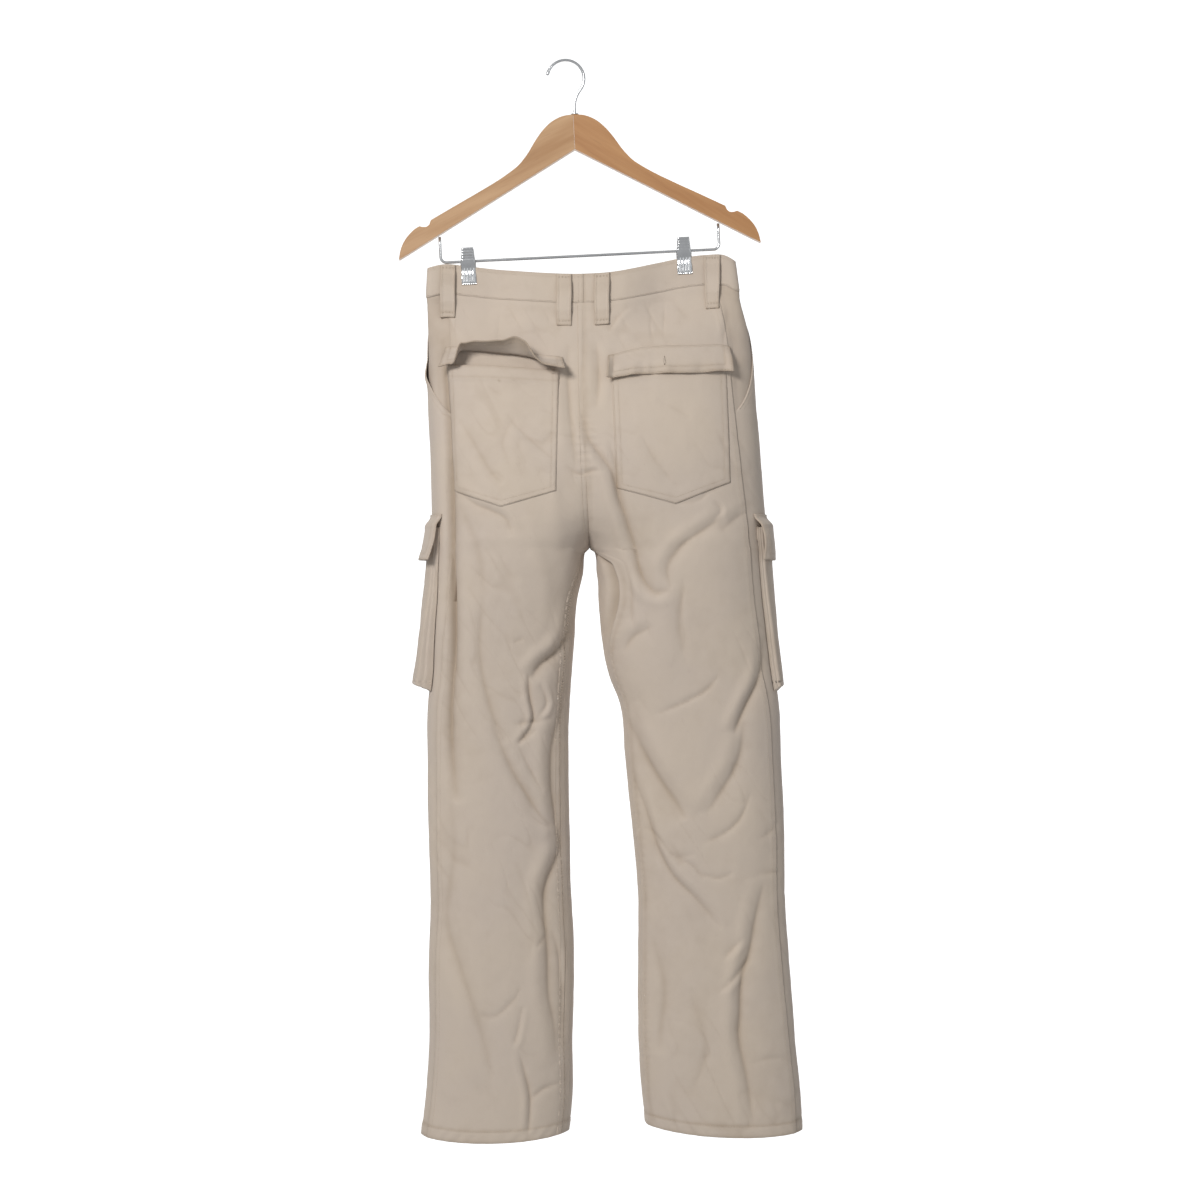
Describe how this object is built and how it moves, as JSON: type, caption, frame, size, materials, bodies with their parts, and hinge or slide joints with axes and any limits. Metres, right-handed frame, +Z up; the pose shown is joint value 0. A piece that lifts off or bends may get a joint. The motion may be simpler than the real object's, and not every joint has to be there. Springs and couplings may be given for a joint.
{
  "type": "cargo trousers on a wooden clip hanger",
  "caption": "Pale cotton cargo trousers hanging by the waistband from a wooden hanger with a hook, a trouser bar and spring clips.",
  "frame": {"origin": "inside of the hook's crown, where a rail holds the hanger", "axes": "+Z up, the longest extent. The back of the trousers faces -Y and the wearer's left is -X"},
  "size_m": [0.4932, 0.1761, 1.3188],
  "materials": {
    "twill": "washed matt cotton twill",
    "thread": "matt sewing thread",
    "wood": "satin clear lacquer over light hardwood",
    "chrome": "polished chrome plate",
    "button": "satin horn-like plastic"
  },
  "bodies": {
    "root": {"back_left": "twill", "back_right": "twill", "front_left": "twill", "front_right": "twill", "waistband_back_left": "twill", "waistband_back_right": "twill", "waistband_front_left": "twill", "waistband_front_right": "twill", "belt_loop_back_left": "twill", "belt_loop_back_right": "twill", "belt_loop_side_left": "twill", "belt_loop_side_right": "twill", "belt_loop_front_left": "twill", "belt_loop_front_right": "twill", "back_pocket_left": "twill", "back_pocket_right": "twill", "back_flap_left": "twill", "back_flap_right": "twill", "cargo_pocket_left": "twill", "cargo_pocket_right": "twill", "cargo_flap_left": "twill", "cargo_flap_right": "twill", "front_pocket_facing_left": "twill", "front_pocket_facing_right": "twill", "fly_placket": "twill", "waist_button": "button", "hanger_arm_left": "wood", "hanger_arm_right": "wood", "hanger_hook": "chrome", "hanger_bar": "chrome", "hanger_clip_left_back": "chrome", "hanger_clip_left_front": "chrome", "hanger_clip_left_spring": "chrome", "hanger_clip_right_back": "chrome", "hanger_clip_right_front": "chrome", "hanger_clip_right_spring": "chrome"}
  },
  "joints": []
}
